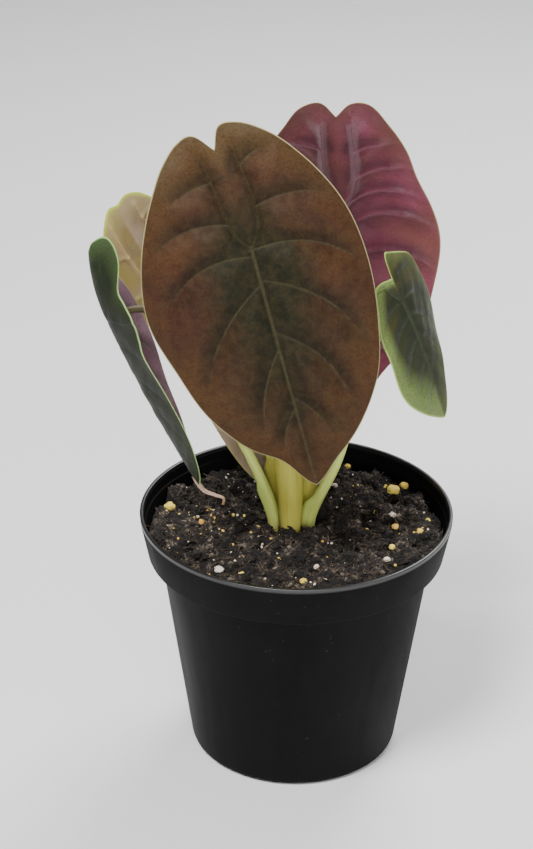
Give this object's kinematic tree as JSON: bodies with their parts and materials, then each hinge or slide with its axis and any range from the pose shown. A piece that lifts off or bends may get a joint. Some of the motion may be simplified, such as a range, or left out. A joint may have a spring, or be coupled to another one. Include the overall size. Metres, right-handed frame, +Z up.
{
  "type": "potted alocasia",
  "caption": "Potted alocasia: copper and wine-red heart-shaped leaves on pale green stalks, standing in soil in a round black plastic nursery pot",
  "frame": {"origin": "middle of the pot's flat base, on the surface the pot stands on", "axes": "+Z up, from the base to the leaves; -Y to the front, the side the large copper leaf faces; +X to the right seen from the front"},
  "size_m": [0.1358, 0.12, 0.2563],
  "materials": {
    "pot_plastic": "satin",
    "soil": "matte",
    "grit": "matte",
    "perlite": "matte",
    "stalk": "satin",
    "blade_copper": "satin",
    "blade_wine": "satin",
    "blade_tan": "satin",
    "blade_green": "satin"
  },
  "bodies": {
    "root": {"pot": "pot_plastic", "soil": "soil", "stem_base": "stalk", "grit_1": "grit", "grit_2": "grit", "grit_3": "grit", "grit_4": "grit", "grit_5": "grit", "grit_6": "grit", "grit_7": "grit", "grit_8": "grit", "grit_9": "grit", "grit_10": "grit", "grit_11": "grit", "grit_12": "grit", "grit_13": "grit", "grit_14": "grit", "perlite_1": "perlite", "perlite_2": "perlite", "perlite_3": "perlite", "perlite_4": "perlite", "perlite_5": "perlite", "perlite_6": "perlite", "leaf_front": "blade_copper", "leaf_back_right": "blade_wine", "leaf_back_left": "blade_tan", "leaf_left": "blade_green", "leaf_right": "blade_green", "stalk_front": "stalk", "stalk_back_right": "stalk", "stalk_back_left": "stalk", "stalk_left": "stalk", "stalk_right": "stalk"}
  },
  "joints": []
}
